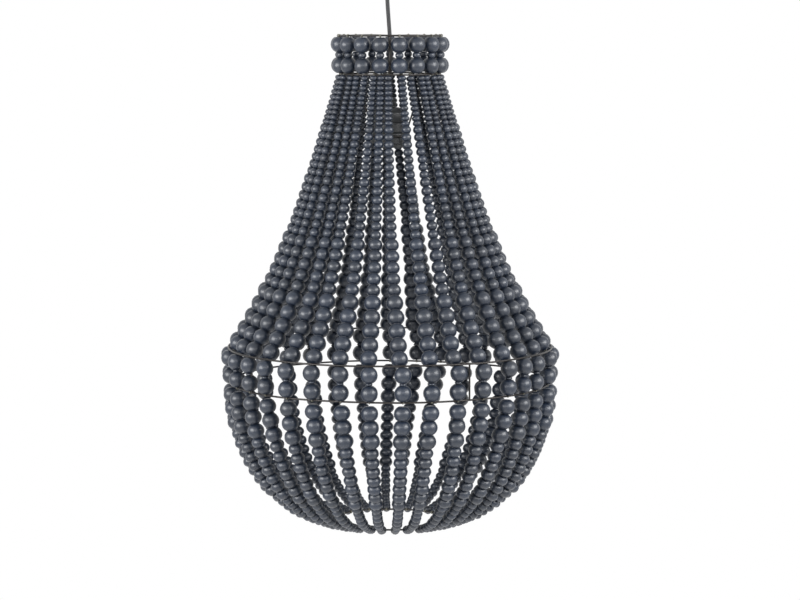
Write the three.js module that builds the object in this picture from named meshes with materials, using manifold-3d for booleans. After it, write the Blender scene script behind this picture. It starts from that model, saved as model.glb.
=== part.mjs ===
// A beaded chandelier: strands of wooden beads on thread, hung between wire rings, that cover a
// lampholder on a short cord under a ceiling cup. Millimetres, +Z up. The origin is on the ceiling,
// at the middle of the bracket's top face, and the front of the lamp looks along -Y.
import * as THREE from "three";
import { mergeVertices } from "three/addons/utils/BufferGeometryUtils.js";
import Module from "manifold-3d";

// Fits
const clearance = 0.3; // gap between pieces that touch or pass through one another
const overrun = 2; // how far a cutter sticks out of what it cuts

// Wire frame of the shade
const strandCount = 34;
const firstStrandTurn = -6.9; // degrees from the front to the first strand, positive to the right
const crownTwist = -3.7; // degrees that the crown is turned against the belly
const ringWire = 2.2; // diameter of the wire of the rings, posts and arms
const crownTopRadius = 62.5;
const crownRadius = 61; // of the crown's lower ring
const bellyRadius = 197; // of the upper belly ring
const bellyLowerRadius = 194.5;
const bottomRadius = 70;
const crownInset = 1; // how far inside the crown's lower ring the strands start
const bellyInset = 6.5; // how far inside the upper belly ring they end
const upperDrop = 331; // from the crown's lower ring down to the upper belly ring
const lowerDrop = 172; // from the lower belly ring down to the bottom ring
const postCount = 4;
const armCount = 3;

// Beads: the width across the thread and the length along it
const ballWidth = 20.5;
const ballLength = 17.8;
const largeWidth = 16.8;
const largeLength = 14;
const mediumWidth = 13;
const mediumLength = 10.7;
const smallWidth = 11.5;
const smallLength = 9.2;
const seedWidth = 10.2;
const seedLength = 6.2;
const bowlBallLength = 17;
const bowlWidth = 15.2;
const bowlLength = 12.4;
const taperWidth = 12.2;
const taperLength = 9.4;
const hemWidth = 10.6;
const hemLength = 8.6;
const crownSpacerWidth = 10;
const crownSpacerLength = 7.2;
const bandSpacerWidth = 8.5;
const bandSpacerLength = 3.8;
const threadWidth = 1.2;
const ringGap = 0.5; // from a ring's wire to the bead beside it
const bowlGap = 3.4; // the bare thread from the lower belly ring's wire to the first ball under it
const ballReach = 0.8; // how far the last ball over the belly reaches down inside the ring
const upperBeads = [
  { count: 10, width: seedWidth, length: seedLength },
  { count: 7, width: smallWidth, length: smallLength },
  { count: 7, width: mediumWidth, length: mediumLength },
  { count: 5, width: largeWidth, length: largeLength },
  { count: 5, width: ballWidth, length: ballLength, modelled: true },
];
const lowerBeads = [
  { count: 3, width: ballWidth, length: bowlBallLength, modelled: true },
  { count: 4, width: bowlWidth, length: bowlLength },
  { count: 3, width: bowlWidth, length: bowlLength },
  { count: 5, width: taperWidth, length: taperLength },
  { count: 5, width: hemWidth, length: hemLength },
];
// How the strands widen: the shares of the widening that grow with the drop and with its powers
const flareLinearShare = 0.74;
const flareSquareShare = 0.04;
const bowlTurnShare = 0.95; // share of a quarter turn that the bowl's outline makes
const neckShare = 0.52; // radius where two beads meet, to that of the bead
const slimShare = 0.95; // radius of a run of small beads, to that of its beads
const strandSides = 5;

// Ceiling fitting
const bracketWidth = 16;
const bracketSheet = 1.5;
const earHeight = 14;
const slotLength = 14;
const slotWidth = 4.5;
const slotSetback = 24; // from the bracket's middle to the middle of a slot
const cupRadius = 48;
const cupHeight = 30;
const cupWall = 1.5;
const cupRounding = 7;
const screwDiameter = 3.8;
const screwHead = 7;
const screwHeadHeight = 2.2;
const screwDrop = 9; // from the ceiling to the middle of the cup's side screws
const terminalLength = 22;
const terminalWidth = 14;
const terminalHeight = 11;
const terminalEntry = 3; // how deep the cord's end goes into the terminal block

// Cord and its grips
const cordDiameter = 4.8;
const cordSwing = 15; // degrees that the cord leans either way in a grip's mouth
const mouthDepth = 5;
const gripThread = 10; // diameter of the threaded neck of both grips
const gripDiameter = 14;
const gripLength = 14;
const gripNeck = 10;
const gripTip = 0.8; // width of the rim round a grip's mouth, and of its bevel
const nutAcross = 15;
const nutHeight = 3;
const clampScrew = 3;
const clampScrewLength = 4.4;
const clampScrewRise = 8.5; // from a grip's mouth to the middle of its clamp screw
const cordDrop = 80; // from the mouth of the ceiling grip down to the crown's top ring

// Lampholder
const holderDrop = 74; // from the crown's top ring down to the mouth of the holder's cord grip
const holderGripLength = 12;
const holderGripNeck = 6;
const capHeight = 18;
const capTopRadius = 9;
const holderRadius = 19;
const holderWall = 2.2;
const bodyHeight = 30;
const shoulderRadius = 22;
const shoulderHeight = 2;
const shoulderDrop = 15; // from the cap's lower edge to the underside of the shoulder
const hubWidth = 5;
const hubHeight = 2;
const shadeRingWidth = 6.5;
const shadeRingHeight = 7;
const shadeRingNotches = 12;
const notchDepth = 1;
const notchWidth = 3;
const socketRadius = 14.3;
const socketWall = 0.8;
const socketHeight = 22;
const socketFloorDrop = 7; // from the body's top to the top of the screw shell
const contactRadius = 4;
const contactRecess = 2;
const contactReach = 1; // how far the contact stands out under the shell's top

// Facets
const cupSegments = 24;
const roundSegments = 16;
const screwSegments = 10;
const wireSegments = 4;
const roundingSteps = 3;
const cordSides = 8;
const cordStep = 2.5; // diameters between the rings of the cord's tube

const wasm = await Module();
wasm.setup();

// Places that follow from the sizes
const wireRadius = ringWire / 2;
const threadRadius = threadWidth / 2;
const cordRadius = cordDiameter / 2;
const swing = THREE.MathUtils.degToRad(cordSwing);
const strandPitch = (2 * Math.PI) / strandCount;
const firstStrand = THREE.MathUtils.degToRad(firstStrandTurn);
const twist = THREE.MathUtils.degToRad(crownTwist);
const beadToRing = wireRadius + ringGap; // from a ring's middle to the end of the next bead
const crownHeight = 2 * ballLength + crownSpacerLength + 2 * beadToRing;
const bandHeight = 2 * ballLength + bandSpacerLength + 2 * beadToRing;
const mouthZ = -cupHeight - clearance - gripLength;
const crownTopZ = mouthZ - cordDrop;
const crownLowerZ = crownTopZ - crownHeight;
const bellyUpperZ = crownLowerZ - upperDrop;
const bellyLowerZ = bellyUpperZ - bandHeight;
const bottomZ = bellyLowerZ - lowerDrop;
const holderMouthZ = crownTopZ - holderDrop;
const capTopZ = holderMouthZ - holderGripLength - clearance;
const capBottomZ = capTopZ - capHeight;
const bodyTopZ = capBottomZ - clearance;
const bodyBottomZ = bodyTopZ - bodyHeight;
const shoulderZ = bodyTopZ - shoulderDrop;
const hubTopZ = shoulderZ - clearance;
const hubBottomZ = hubTopZ - hubHeight;
const hubInner = (holderRadius + clearance) / Math.cos(Math.PI / roundSegments); // its flats clear the body
const hubOuter = hubInner + hubWidth;
const shadeRingTopZ = hubBottomZ - clearance;
const shadeRingBottomZ = shadeRingTopZ - shadeRingHeight;
const gripRadius = gripDiameter / 2;
const gripNeckRadius = gripThread / 2;
const gripBore = gripNeckRadius + clearance;

// The cord's route, as [aside, height over the crown's top ring]: it leaves the ceiling grip
// straight down, bows a little to the left and comes back over the lampholder
const cordRoute = [
  [0, 76], [-0.4, 70], [-1.2, 64], [-2.1, 58], [-2.8, 52], [-3.1, 46], [-2.9, 40],
  [-2.5, 33], [-2, 26], [-1.5, 19], [-1, 12], [-0.5, 5], [-0.1, -2], [0.2, -10],
  [0.3, -20], [0.3, -32], [0.2, -45], [0.1, -57], [0, -67],
];

// Finishes
const woodBlack = new THREE.MeshStandardMaterial({ color: "#33383f", roughness: 0.55, metalness: 0 });
const wireBrown = new THREE.MeshStandardMaterial({ color: "#2b2624", roughness: 0.45, metalness: 0.6 });
const plasticBlack = new THREE.MeshStandardMaterial({ color: "#26292d", roughness: 0.4, metalness: 0 });
const cordBlack = new THREE.MeshStandardMaterial({ color: "#43464d", roughness: 0.5, metalness: 0 });
const cupBlack = new THREE.MeshStandardMaterial({ color: "#2a2d31", roughness: 0.5, metalness: 0.2 });
const zincSteel = new THREE.MeshStandardMaterial({ color: "#b4b7ba", roughness: 0.35, metalness: 1 });
const brass = new THREE.MeshStandardMaterial({ color: "#c8a860", roughness: 0.3, metalness: 1 });
const ceramicWhite = new THREE.MeshStandardMaterial({ color: "#e6e2d8", roughness: 0.4, metalness: 0 });

const lamp = new THREE.Group();

function addPiece(name, geometry, material, turn = 0) {
  const mesh = new THREE.Mesh(geometry, material);
  mesh.name = name;
  mesh.rotation.z = turn;
  lamp.add(mesh);
}

// A geometry with shared vertices merged and collapsed triangles left out
function weld(geometry) {
  const bare = geometry.clone();
  bare.deleteAttribute("normal");
  bare.deleteAttribute("uv");
  const merged = mergeVertices(bare);
  const kept = [];
  const corners = merged.index.array;
  for (let i = 0; i < corners.length; i += 3) {
    const [a, b, c] = [corners[i], corners[i + 1], corners[i + 2]];
    if (a !== b && b !== c && c !== a) kept.push(a, b, c);
  }
  merged.setIndex(kept);
  return merged;
}

function solid(geometry) {
  const merged = weld(geometry);
  return new wasm.Manifold(new wasm.Mesh({
    numProp: 3,
    vertProperties: new Float32Array(merged.attributes.position.array),
    triVerts: new Uint32Array(merged.index.array),
  }));
}

function geometryOf(manifold) {
  const mesh = manifold.getMesh();
  const geometry = new THREE.BufferGeometry();
  geometry.setAttribute("position", new THREE.BufferAttribute(mesh.vertProperties.slice(), 3));
  geometry.setIndex(new THREE.BufferAttribute(mesh.triVerts.slice(), 1));
  return geometry;
}

// A revolved piece; its profile is a list of [radius, z]
function turned(profile, segments) {
  const points = profile.map(([radius, z]) => new THREE.Vector2(radius, z));
  if (THREE.ShapeUtils.isClockWise(points)) points.reverse();
  if (profile.every(([radius]) => radius > 0)) points.push(points[0].clone());
  return weld(new THREE.LatheGeometry(points, segments).rotateX(Math.PI / 2));
}

function rod(radius, low, high, segments) {
  const bar = new THREE.CylinderGeometry(radius, radius, high - low, segments);
  return bar.rotateX(Math.PI / 2).translate(0, 0, (low + high) / 2);
}

function circle(radius, sides) {
  const points = [];
  for (let i = 0; i < sides; i++) {
    const turn = (2 * Math.PI * i) / sides;
    points.push(new THREE.Vector2(radius * Math.cos(turn), radius * Math.sin(turn)));
  }
  return new THREE.Shape(points);
}

function tube(curve, radius, sides, steps) {
  return new THREE.ExtrudeGeometry(circle(radius, sides), { steps, extrudePath: curve });
}

// Paths of the thread, as [radius, z] at a share of the way down
function upperPath(share) {
  const flareRest = 1 - flareLinearShare - flareSquareShare;
  const flare = flareLinearShare * share + flareSquareShare * share ** 2 + flareRest * share ** 4;
  const [start, end] = [crownRadius - crownInset, bellyRadius - bellyInset];
  return [start + (end - start) * flare, crownLowerZ - (upperDrop + ballReach) * share];
}

function lowerPath(share) {
  const whole = (bowlTurnShare * Math.PI) / 2;
  const inward = (Math.cos(whole * share) - Math.cos(whole)) / (1 - Math.cos(whole));
  const down = Math.sin(whole * share) / Math.sin(whole);
  return [bottomRadius + (bellyLowerRadius - bottomRadius) * inward, bellyLowerZ - lowerDrop * down];
}

// Lengths along a path, to find the place that lies a given way along it
function measured(path) {
  const samples = 400;
  const places = [{ along: 0, at: path(0) }];
  for (let i = 1; i <= samples; i++) {
    const at = path(i / samples);
    const last = places[i - 1];
    places.push({ along: last.along + Math.hypot(at[0] - last.at[0], at[1] - last.at[1]), at });
  }
  const total = places[samples].along;
  const place = (along) => {
    let i = places.findIndex((p) => p.along >= along);
    i = Math.min(Math.max(i, 1), samples);
    const [low, high] = [places[i - 1], places[i]];
    const share = (along - low.along) / (high.along - low.along);
    const step = high.along - low.along;
    const tangent = [(high.at[0] - low.at[0]) / step, (high.at[1] - low.at[1]) / step];
    const at = [0, 1].map((k) => low.at[k] + share * (high.at[k] - low.at[k]));
    return { at, tangent };
  };
  return { total, place };
}

function endTangent(path) {
  const { total, place } = measured(path);
  return place(total).tangent;
}

const straightDown = [0, -1];
const straightOut = [1, 0];
const zAxis = new THREE.Vector3(0, 0, 1);

// The thread goes round the outside of a ring's wire
function threadOver(radius, z, tangent = straightDown) {
  const around = wireRadius + 2 * clearance + threadRadius;
  const at = [radius - around * tangent[1], z + around * tangent[0]];
  return { at, tangent, radius: threadRadius };
}

// Beads that fill a path but for the gaps at its ends. Balls are modelled one by one, and a run of
// smaller beads is one slim tube with a ring of corners where the bead changes.
function beadRings(path, groups, startGap, endGap) {
  const { total, place } = measured(path);
  const wanted = groups.reduce((sum, group) => sum + group.count * group.length, 0);
  const fit = (total - startGap - endGap) / wanted;
  const rings = [];
  const put = (along, radius) => rings.push({ ...place(along), radius });
  let along = startGap;
  for (const [i, group] of groups.entries()) {
    const step = group.length * fit;
    const slim = (slimShare * group.width) / 2;
    if (group.modelled) {
      for (let bead = 0; bead < group.count; bead++) {
        if (bead > 0) put(along, (neckShare * group.width) / 2);
        put(along + step / 2, group.width / 2);
        along += step;
      }
      continue;
    }
    put(i === 0 ? along + step : along, slim);
    along += group.count * step;
    if (i === groups.length - 1) put(along - step, slim);
  }
  return rings;
}

// Two balls with a spacer between them, from one ring down to the next
function pairRings([topRadius, topZ], [lowRadius, lowZ], spacerWidth) {
  const ballShare = (beadToRing + ballLength / 2) / (topZ - lowZ);
  return [[ballShare, ballWidth], [0.5, spacerWidth], [1 - ballShare, ballWidth]].map(([share, width]) => {
    const at = [topRadius + (lowRadius - topRadius) * share, topZ + (lowZ - topZ) * share];
    return { at, tangent: straightDown, radius: width / 2 };
  });
}

// A closed loft through rings whose middles lie in the plane of the strand
function loft(rings) {
  const positions = [];
  const index = [];
  for (const { at, tangent, radius } of rings) {
    for (let i = 0; i < strandSides; i++) {
      const turn = (2 * Math.PI * i) / strandSides;
      const out = radius * Math.cos(turn);
      const aside = radius * Math.sin(turn);
      positions.push(aside, -(at[0] - out * tangent[1]), at[1] + out * tangent[0]);
    }
  }
  const corner = (ring, i) => ring * strandSides + (i % strandSides);
  for (let ring = 0; ring + 1 < rings.length; ring++) {
    for (let i = 0; i < strandSides; i++) {
      const [a, b] = [corner(ring, i), corner(ring, i + 1)];
      const [c, d] = [corner(ring + 1, i), corner(ring + 1, i + 1)];
      index.push(a, c, b, b, c, d);
    }
  }
  for (let i = 1; i + 1 < strandSides; i++) {
    const last = rings.length - 1;
    index.push(corner(0, 0), corner(0, i), corner(0, i + 1));
    index.push(corner(last, 0), corner(last, i + 1), corner(last, i));
  }
  const geometry = new THREE.BufferGeometry();
  geometry.setAttribute("position", new THREE.Float32BufferAttribute(positions, 3));
  geometry.setIndex(index);
  return geometry;
}

// The crown is turned against the belly, and the strands between them turn evenly with the height
function crownTwisted(geometry) {
  const corners = geometry.attributes.position;
  for (let i = 0; i < corners.count; i++) {
    const share = THREE.MathUtils.clamp((corners.getZ(i) - bellyUpperZ) / upperDrop, 0, 1);
    const corner = new THREE.Vector3().fromBufferAttribute(corners, i);
    corners.setXYZ(i, ...corner.applyAxisAngle(zAxis, twist * share));
  }
  return geometry;
}

function strand(withCrown) {
  const [crownTop, crownLow] = [[crownTopRadius, crownTopZ], [crownRadius, crownLowerZ]];
  const [bellyTop, bellyLow] = [[bellyRadius, bellyUpperZ], [bellyLowerRadius, bellyLowerZ]];
  const rings = [];
  if (withCrown) {
    rings.push(threadOver(...crownTop));
    rings.push(...pairRings(crownTop, crownLow, crownSpacerWidth));
  }
  rings.push(threadOver(...crownLow));
  rings.push(...beadRings(upperPath, upperBeads, beadToRing, 0));
  rings.push(threadOver(...bellyTop, straightOut));
  rings.push(threadOver(...bellyTop));
  rings.push(...pairRings(bellyTop, bellyLow, bandSpacerWidth));
  rings.push(threadOver(...bellyLow));
  rings.push(...beadRings(lowerPath, lowerBeads, wireRadius + bowlGap, beadToRing));
  rings.push(threadOver(bottomRadius, bottomZ, endTangent(lowerPath)));
  return crownTwisted(loft(rings));
}

const plainStrand = strand(false);
const crownStrand = strand(true);
for (let i = 0; i < strandCount; i++) {
  const name = `bead_strand_${String(i + 1).padStart(2, "0")}`;
  addPiece(name, i % 2 === 0 ? crownStrand : plainStrand, woodBlack, firstStrand + i * strandPitch);
}

// Rings of round wire, with a corner of each ring at every strand
function wireRing(radius) {
  return weld(new THREE.TorusGeometry(radius, wireRadius, wireSegments, strandCount));
}
const wireRings = {
  crown_top_ring: [crownTopRadius, crownTopZ, twist],
  crown_lower_ring: [crownRadius, crownLowerZ, twist],
  belly_upper_ring: [bellyRadius, bellyUpperZ, 0],
  belly_lower_ring: [bellyLowerRadius, bellyLowerZ, 0],
  bottom_ring: [bottomRadius, bottomZ, 0],
};
for (const [name, [radius, z, turn]] of Object.entries(wireRings)) {
  addPiece(name, wireRing(radius).translate(0, 0, z), wireBrown, firstStrand + turn - Math.PI / 2);
}

// Posts stand between the belly rings, each close beside the strand nearest its quarter
const besideStrand = (ballWidth / 2 + wireRadius + clearance) / bellyRadius;
const postHigh = bellyUpperZ - wireRadius - clearance;
const postLow = bellyLowerZ + wireRadius + clearance;
const firstPostStrand = 3;
const post = bentWire([[bellyRadius, postHigh], [bellyLowerRadius, postLow]]);
for (let i = 0; i < postCount; i++) {
  const strandIndex = firstPostStrand + Math.round((i * strandCount) / postCount);
  const turn = firstStrand + strandIndex * strandPitch + besideStrand;
  addPiece(`belly_post_${i + 1}`, post, wireBrown, turn);
}

// The spider: a hub that the lampholder clamps, and arms that rise inside the crown to its top ring
function spider() {
  const armInset = 2 * wireRadius + clearance;
  const hub = turned([
    [hubInner, hubBottomZ],
    [hubOuter, hubBottomZ],
    [hubOuter, hubTopZ],
    [hubInner, hubTopZ],
  ], roundSegments);
  const hubMiddleZ = (hubTopZ + hubBottomZ) / 2;
  const elbowZ = crownLowerZ - seedWidth;
  const elbowRadius = crownRadius - seedWidth - wireRadius;
  const corners = [
    [crownTopRadius - armInset, crownTopZ],
    [crownRadius - armInset, crownLowerZ],
    [elbowRadius, elbowZ],
    [hubOuter - wireRadius, hubMiddleZ],
  ];
  let whole = solid(hub);
  for (let i = 0; i < armCount; i++) {
    const gap = 2 * Math.round((i * strandCount) / (2 * armCount)) + 1; // an odd strand has no crown beads
    const arm = bentWire(corners).rotateZ(firstStrand + twist + gap * strandPitch);
    whole = whole.add(solid(arm));
  }
  return geometryOf(whole);
}

// A bent wire through corners [radius, z] in one plane, with a mitre at each bend
function bentWire(corners) {
  const points = corners.map((corner) => new THREE.Vector2(...corner));
  return loft(points.map((point, i) => {
    const before = points[Math.max(i - 1, 0)];
    const after = points[Math.min(i + 1, points.length - 1)];
    const inDirection = point.clone().sub(before).normalize();
    const outDirection = after.clone().sub(point).normalize();
    const tangent = inDirection.add(outDirection).normalize();
    return { at: [point.x, point.y], tangent: [tangent.x, tangent.y], radius: wireRadius };
  }));
}
addPiece("shade_spider", spider(), wireBrown);

// The mouth that the cord enters. Its floor is a blunt cone, so that the end of the leaning cord
// has room. Towards is 1 where the mouth opens down and -1 where it opens up.
function mouthProfile(mouth, towards) {
  const throat = cordRadius + clearance;
  const rim = cordRadius / Math.cos(swing) + mouthDepth * Math.tan(swing) + clearance;
  const floor = mouth + towards * (mouthDepth + clearance);
  return [
    [0, floor],
    [throat, floor + towards * throat * Math.tan(swing)],
    [rim, mouth],
    [rim + gripTip, mouth],
    [gripRadius, mouth + towards * gripTip],
  ];
}

// A quarter round of a profile, which leaves its start level and reaches its end upright
function quarterRound(fromRadius, toRadius, fromZ, toZ) {
  const points = [];
  for (let i = 0; i <= roundingSteps; i++) {
    const turn = (Math.PI * i) / (2 * roundingSteps);
    const radius = fromRadius + (toRadius - fromRadius) * Math.sin(turn);
    points.push([radius, toZ + (fromZ - toZ) * Math.cos(turn)]);
  }
  return points;
}

// Lampholder: a cap with a cord grip, and a body with a shoulder, a screw shell and a contact
const gripShoulderZ = holderMouthZ - holderGripLength;
const holderInner = holderRadius - holderWall;
const capShoulderZ = capTopZ - capHeight / 2;
const socketFloorZ = bodyTopZ - socketFloorDrop;
const shellTopZ = socketFloorZ - clearance;
const shellBottomZ = shellTopZ - socketHeight;
const shellHole = contactRadius + clearance;
const shellInner = socketRadius - socketWall;
const shadeRingOuter = hubInner + shadeRingWidth;

addPiece("holder_cord_grip", turned([
  ...mouthProfile(holderMouthZ, -1),
  [gripRadius, gripShoulderZ],
  [gripNeckRadius, gripShoulderZ],
  [gripNeckRadius, gripShoulderZ - holderGripNeck],
  [0, gripShoulderZ - holderGripNeck],
], roundSegments), plasticBlack);
addPiece("holder_cap", turned([
  [gripBore, capTopZ],
  ...quarterRound(capTopRadius, holderRadius, capTopZ, capShoulderZ),
  [holderRadius, capBottomZ],
  [holderInner, capBottomZ],
  ...quarterRound(capTopRadius, holderInner, capTopZ - holderWall, capShoulderZ).reverse(),
  [gripBore, capTopZ - holderWall],
], roundSegments), plasticBlack);
addPiece("holder_body", turned([
  [0, bodyTopZ],
  [holderRadius, bodyTopZ],
  [holderRadius, shoulderZ + 2 * shoulderHeight],
  [shoulderRadius, shoulderZ + shoulderHeight],
  [shoulderRadius, shoulderZ],
  [holderRadius, shoulderZ],
  [holderRadius, bodyBottomZ],
  [holderInner, bodyBottomZ],
  [holderInner, socketFloorZ],
  [shellHole, socketFloorZ],
  [shellHole, socketFloorZ + contactRecess],
  [0, socketFloorZ + contactRecess],
], roundSegments), plasticBlack);
addPiece("socket_shell", turned([
  [shellHole, shellTopZ],
  [socketRadius, shellTopZ],
  [socketRadius, shellBottomZ],
  [shellInner, shellBottomZ],
  [shellInner, shellTopZ - socketWall],
  [shellHole, shellTopZ - socketWall],
], roundSegments), brass);
const contactTopZ = socketFloorZ + contactRecess - clearance;
const contactLowZ = shellTopZ - socketWall - contactReach;
addPiece("centre_contact", weld(rod(contactRadius, contactLowZ, contactTopZ, screwSegments)), brass);

// The ring that clamps the spider's hub under the shoulder, with notches for the fingers
function shadeRing() {
  let ring = solid(turned([
    [hubInner, shadeRingTopZ],
    [shadeRingOuter, shadeRingTopZ],
    [shadeRingOuter, shadeRingBottomZ],
    [hubInner, shadeRingBottomZ],
  ], 2 * shadeRingNotches));
  const notch = new THREE.BoxGeometry(notchWidth, 2 * notchDepth, shadeRingHeight + 2 * overrun);
  notch.translate(0, shadeRingOuter, (shadeRingTopZ + shadeRingBottomZ) / 2);
  for (let i = 0; i < shadeRingNotches; i++) {
    const turn = (2 * Math.PI * (i + 0.5)) / shadeRingNotches;
    ring = ring.subtract(solid(notch.clone().rotateZ(turn)));
  }
  return geometryOf(ring);
}
addPiece("shade_ring", shadeRing(), plasticBlack);

// The cord between the two grips
const cordTopZ = mouthZ + mouthDepth;
const cordBottomZ = holderMouthZ - mouthDepth;
const cordPoints = cordRoute.map(([aside, over]) => new THREE.Vector3(aside, 0, crownTopZ + over));
cordPoints.unshift(new THREE.Vector3(0, 0, cordTopZ));
cordPoints.push(new THREE.Vector3(0, 0, cordBottomZ));
const cordCurve = new THREE.CatmullRomCurve3(cordPoints);
const cordSteps = Math.ceil(cordCurve.getLength() / (cordStep * cordDiameter));
addPiece("cord", weld(tube(cordCurve, cordRadius, cordSides, cordSteps)), cordBlack);

// Ceiling fitting
const cupInner = cupRadius - cupWall;
const cupFloorZ = -cupHeight + cupWall;
const cupRimZ = -clearance;
const screwRadius = screwDiameter / 2;
const screwHole = screwRadius + clearance;
const cupFlat = cupInner * Math.cos(Math.PI / cupSegments);
const earFace = Math.sqrt(cupFlat ** 2 - (bracketWidth / 2) ** 2) - clearance;
const neckTopZ = mouthZ + gripLength + gripNeck;

function crossHole(radius, fromX, toX, z) {
  return solid(rod(radius, fromX, toX, screwSegments).rotateY(Math.PI / 2).translate(0, 0, z));
}

// A steel strip with two ears turned down, and two slots for the screws into the ceiling
function bracket() {
  const inner = earFace - bracketSheet;
  const outline = new THREE.Shape([
    [-earFace, 0], [-earFace, -earHeight], [-inner, -earHeight], [-inner, -bracketSheet],
    [inner, -bracketSheet], [inner, -earHeight], [earFace, -earHeight], [earFace, 0],
  ].map(([x, z]) => new THREE.Vector2(x, z)));
  const strip = new THREE.ExtrudeGeometry(outline, { depth: bracketWidth, bevelEnabled: false });
  let whole = solid(strip.rotateX(Math.PI / 2).translate(0, bracketWidth / 2, 0));
  const slot = new THREE.Shape();
  const slotEnd = (slotLength - slotWidth) / 2;
  slot.absarc(slotEnd, 0, slotWidth / 2, -Math.PI / 2, Math.PI / 2);
  slot.absarc(-slotEnd, 0, slotWidth / 2, Math.PI / 2, (3 * Math.PI) / 2);
  const settings = { depth: bracketSheet + 2 * overrun, bevelEnabled: false, curveSegments: roundingSteps };
  for (const side of [-1, 1]) {
    const cutter = new THREE.ExtrudeGeometry(slot, settings);
    whole = whole.subtract(solid(cutter.translate(side * slotSetback, 0, -bracketSheet - overrun)));
  }
  return geometryOf(whole.subtract(crossHole(screwHole, -cupRadius, cupRadius, -screwDrop)));
}

function cup() {
  const roundingZ = -cupHeight + cupRounding;
  const shell = solid(turned([
    [cupRadius, cupRimZ],
    ...quarterRound(cupRadius - cupRounding, cupRadius, -cupHeight, roundingZ).reverse(),
    [gripBore, -cupHeight],
    [gripBore, cupFloorZ],
    ...quarterRound(cupRadius - cupRounding, cupInner, cupFloorZ, roundingZ),
    [cupInner, cupRimZ],
  ], cupSegments));
  const reach = cupRadius + overrun;
  return geometryOf(shell.subtract(crossHole(screwHole, -reach, reach, -screwDrop)));
}

// A side screw, from its tip inside the ear to its domed head outside the cup
function sideScrew() {
  const seat = cupRadius + clearance;
  const head = screwHead / 2;
  const profile = [
    [0, earFace - 2 * bracketSheet],
    [screwRadius, earFace - 2 * bracketSheet],
    [screwRadius, seat],
    [head, seat],
    [head, seat + screwHeadHeight / 2],
    [screwRadius, seat + screwHeadHeight],
    [0, seat + screwHeadHeight],
  ];
  return turned(profile, screwSegments).rotateY(Math.PI / 2).translate(0, 0, -screwDrop);
}

// The grip hangs in the cup's hole on its threaded neck, and a small side screw clamps the cord
const clampZ = mouthZ + clampScrewRise;
const clampEnd = gripRadius - clampScrewLength;
const clampRadius = clampScrew / 2;

function ceilingGrip() {
  const blank = solid(turned([
    ...mouthProfile(mouthZ, 1),
    [gripRadius, mouthZ + gripLength],
    [gripNeckRadius, mouthZ + gripLength],
    [gripNeckRadius, neckTopZ],
    [0, neckTopZ],
  ], roundSegments));
  const hole = crossHole(clampRadius + clearance, clampEnd - clearance, gripRadius + overrun, clampZ);
  return geometryOf(blank.subtract(hole));
}

function clamp() {
  const screw = rod(clampRadius, clampEnd, gripRadius, screwSegments);
  return weld(screw.rotateY(Math.PI / 2).translate(0, 0, clampZ));
}

function locknut() {
  const hexagon = circle(nutAcross / Math.sqrt(3), 6);
  hexagon.holes.push(circle(gripBore, roundSegments));
  const nut = new THREE.ExtrudeGeometry(hexagon, { depth: nutHeight, bevelEnabled: false });
  return weld(nut.translate(0, 0, cupFloorZ + clearance));
}

// A terminal block under the bracket, with a hole in its underside that the cord's end enters
const terminalTopZ = -bracketSheet - clearance;
const terminalLowZ = terminalTopZ - terminalHeight;

function terminal() {
  const block = new THREE.BoxGeometry(terminalLength, terminalWidth, terminalHeight);
  block.translate(0, 0, (terminalTopZ + terminalLowZ) / 2);
  const entryTop = terminalLowZ + terminalEntry;
  const entry = rod(cordRadius + clearance, terminalLowZ - overrun, entryTop, screwSegments);
  return geometryOf(solid(block).subtract(solid(entry)));
}
const tailTopZ = terminalLowZ + terminalEntry - clearance;

addPiece("ceiling_bracket", bracket(), zincSteel);
addPiece("ceiling_cup", cup(), cupBlack);
addPiece("cup_screw_1", sideScrew(), zincSteel);
addPiece("cup_screw_2", sideScrew(), zincSteel, Math.PI);
addPiece("cord_grip", ceilingGrip(), plasticBlack);
addPiece("grip_clamp_screw", clamp(), plasticBlack);
addPiece("grip_locknut", locknut(), zincSteel);
addPiece("terminal_block", terminal(), ceramicWhite);
addPiece("cord_tail", weld(rod(cordRadius, neckTopZ + clearance, tailTopZ, cordSides)), cordBlack);

export default lamp;
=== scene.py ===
# %% [markdown]
# # A beaded chandelier
#
# This lesson dresses a pendant lamp: a balloon of black wooden beads, strung on thread between
# rings of dark wire, with a lampholder inside its crown on a short cord. The beads are the whole
# look of the lamp, so most of the work goes into one small tree of Geometry Nodes that strings
# them. Lengths are in metres, +Z is up and the lamp's front looks along -Y. The origin is on the
# ceiling, over the middle of the lamp.

# %% The measured frame
import math
import random

import bmesh
import bpy
from mathutils import Matrix, Vector


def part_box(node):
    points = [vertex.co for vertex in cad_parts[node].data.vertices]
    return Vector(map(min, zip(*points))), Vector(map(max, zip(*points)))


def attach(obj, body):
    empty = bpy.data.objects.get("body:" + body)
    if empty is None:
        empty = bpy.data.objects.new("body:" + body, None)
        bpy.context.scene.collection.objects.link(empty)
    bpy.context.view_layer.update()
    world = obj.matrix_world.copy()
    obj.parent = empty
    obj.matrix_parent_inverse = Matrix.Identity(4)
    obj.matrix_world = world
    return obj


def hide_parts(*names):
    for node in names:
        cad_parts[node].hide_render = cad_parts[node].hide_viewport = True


MM = 0.001
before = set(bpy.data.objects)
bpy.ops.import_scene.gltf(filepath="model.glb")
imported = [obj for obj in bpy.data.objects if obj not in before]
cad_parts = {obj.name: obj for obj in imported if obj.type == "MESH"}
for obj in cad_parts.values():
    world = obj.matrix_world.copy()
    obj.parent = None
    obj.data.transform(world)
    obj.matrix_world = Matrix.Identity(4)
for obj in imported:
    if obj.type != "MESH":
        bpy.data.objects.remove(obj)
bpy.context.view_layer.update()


def height_of(node):
    """The height of the middle of a node."""
    low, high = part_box(node)
    return (low[2] + high[2]) / 2


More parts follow.
